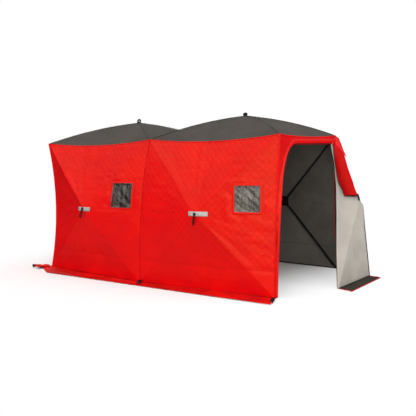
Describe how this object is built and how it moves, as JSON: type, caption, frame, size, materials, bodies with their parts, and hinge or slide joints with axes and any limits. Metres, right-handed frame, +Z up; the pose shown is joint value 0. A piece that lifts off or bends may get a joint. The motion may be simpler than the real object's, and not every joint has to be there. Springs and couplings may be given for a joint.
{
  "type": "ice fishing hut",
  "caption": "Pop-up insulated ice fishing hut: two hub bays with quilted red walls, dark domed roofs, clear windows, ground skirts and an open end door folded back.",
  "frame": {"origin": "middle of the footprint, on the ground", "axes": "+X along the long walls to the door end, -Y to the front, +Z up"},
  "size_m": [4.3953, 2.482, 2.0775],
  "materials": {
    "red_quilted_cloth": "quilted polyester, slight sheen",
    "red_skirt_cloth": "plain coated polyester",
    "roof_cloth": "dark coated polyester",
    "dark_liner": "matt lining cloth",
    "pale_liner": "pale quilted lining",
    "window_vinyl": "clear soft vinyl",
    "black_webbing": "woven webbing",
    "black_plastic": "moulded",
    "black_rod": "fibreglass rod",
    "reflective_strip": "reflective tape",
    "eyelet_metal": "plated"
  },
  "bodies": {
    "root": {"front_left_wall": "red_quilted_cloth", "front_right_wall": "red_quilted_cloth", "back_left_wall": "red_quilted_cloth", "back_right_wall": "red_quilted_cloth", "left_end_wall": "red_quilted_cloth", "door_surround": "red_quilted_cloth", "door_flap": "pale_liner", "door_flap_corner": "red_quilted_cloth", "left_roof": "roof_cloth", "right_roof": "roof_cloth", "front_skirt": "red_skirt_cloth", "back_skirt": "red_skirt_cloth", "left_end_skirt": "red_skirt_cloth", "door_flap_skirt": "dark_liner", "front_left_hub": "black_plastic", "front_left_rods": "black_rod", "front_right_hub": "black_plastic", "front_right_rods": "black_rod", "back_left_hub": "black_plastic", "back_left_rods": "black_rod", "back_right_hub": "black_plastic", "back_right_rods": "black_rod", "left_end_hub": "black_plastic", "left_end_rods": "black_rod", "left_roof_hub": "black_plastic", "left_roof_rods": "black_rod", "right_roof_hub": "black_plastic", "right_roof_rods": "black_rod", "front_left_window": "window_vinyl", "front_right_window": "window_vinyl", "back_left_window": "window_vinyl", "back_right_window": "window_vinyl", "front_left_pull": "black_webbing", "front_right_pull": "black_webbing", "back_left_pull": "black_webbing", "back_right_pull": "black_webbing", "left_end_pull": "black_webbing", "left_roof_cap": "black_webbing", "right_roof_cap": "black_webbing", "anchor_tabs": "black_webbing", "door_tie": "black_webbing"}
  },
  "joints": []
}
